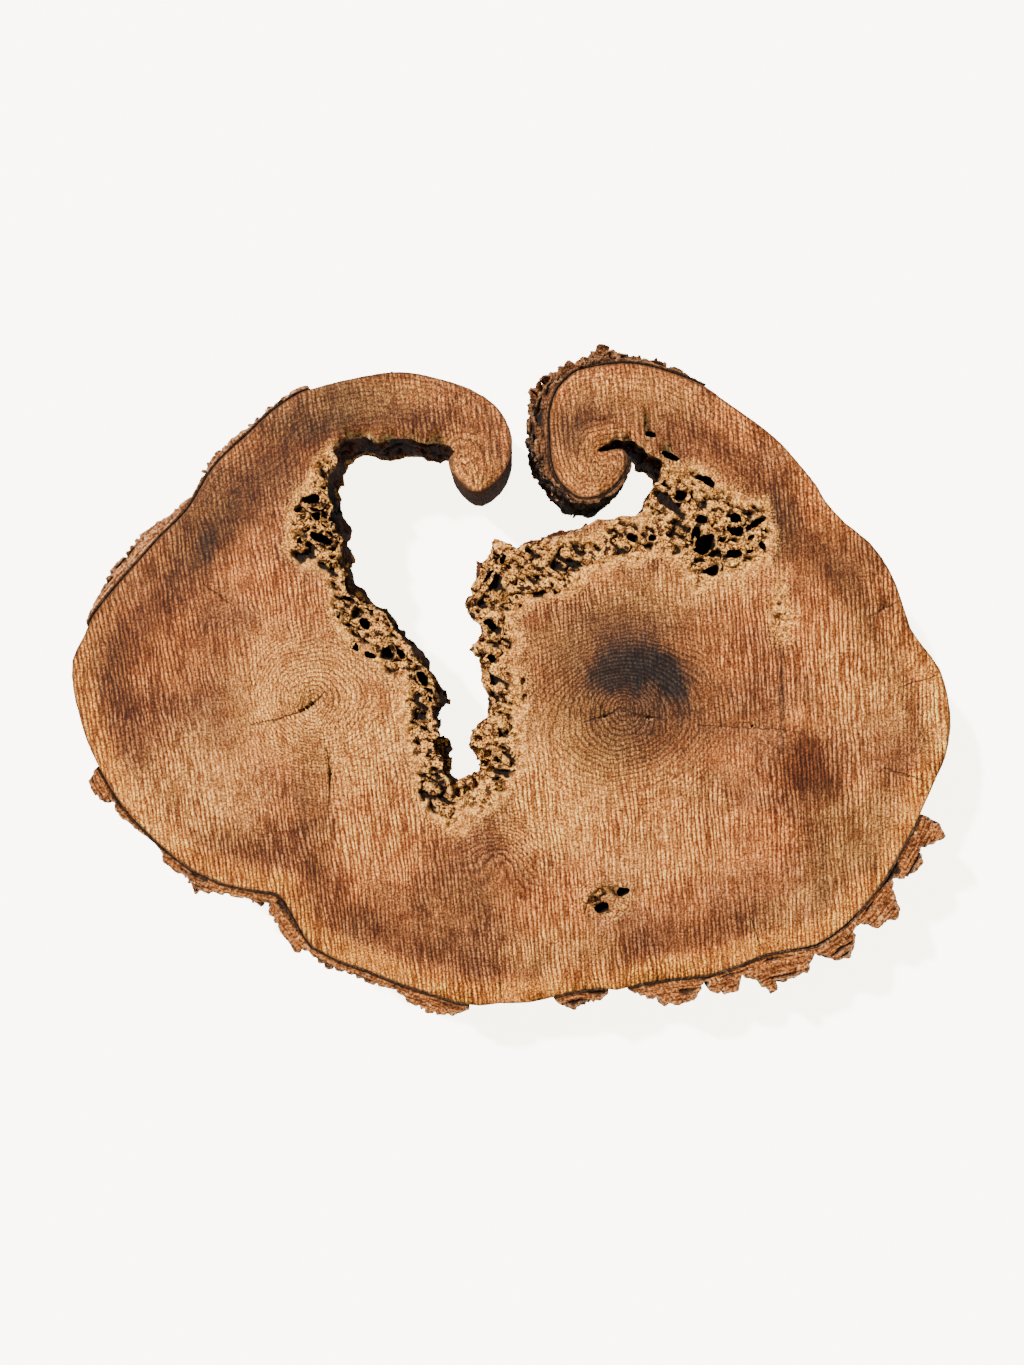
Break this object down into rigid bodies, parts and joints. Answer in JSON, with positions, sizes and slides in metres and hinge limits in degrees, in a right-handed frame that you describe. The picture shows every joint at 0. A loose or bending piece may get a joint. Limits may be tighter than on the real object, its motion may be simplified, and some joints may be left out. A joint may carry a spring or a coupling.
{
  "type": "walnut wood slice",
  "caption": "Thick slice of a walnut trunk with two rolled-in curls round a rotten void and slot, rot pockets, drying checks and stretches of furrowed bark, flat on both sawn faces.",
  "frame": {"origin": "Middle of the slice's box, on its back sawn face, which it lies on.", "axes": "+X along the slice's long side, +Y along its short side towards the two curls, +Z along the trunk, out of the front sawn face."},
  "size_m": [1.1188, 0.849, 0.127],
  "materials": {
    "wood": "dry sawn end grain",
    "bark": "rough dry bark"
  },
  "bodies": {
    "root": {"wood": "wood", "bark_upper_left": "bark", "bark_lower_left": "bark", "bark_lower_middle": "bark", "bark_lower_right": "bark", "bark_right_curl": "bark"}
  },
  "joints": []
}
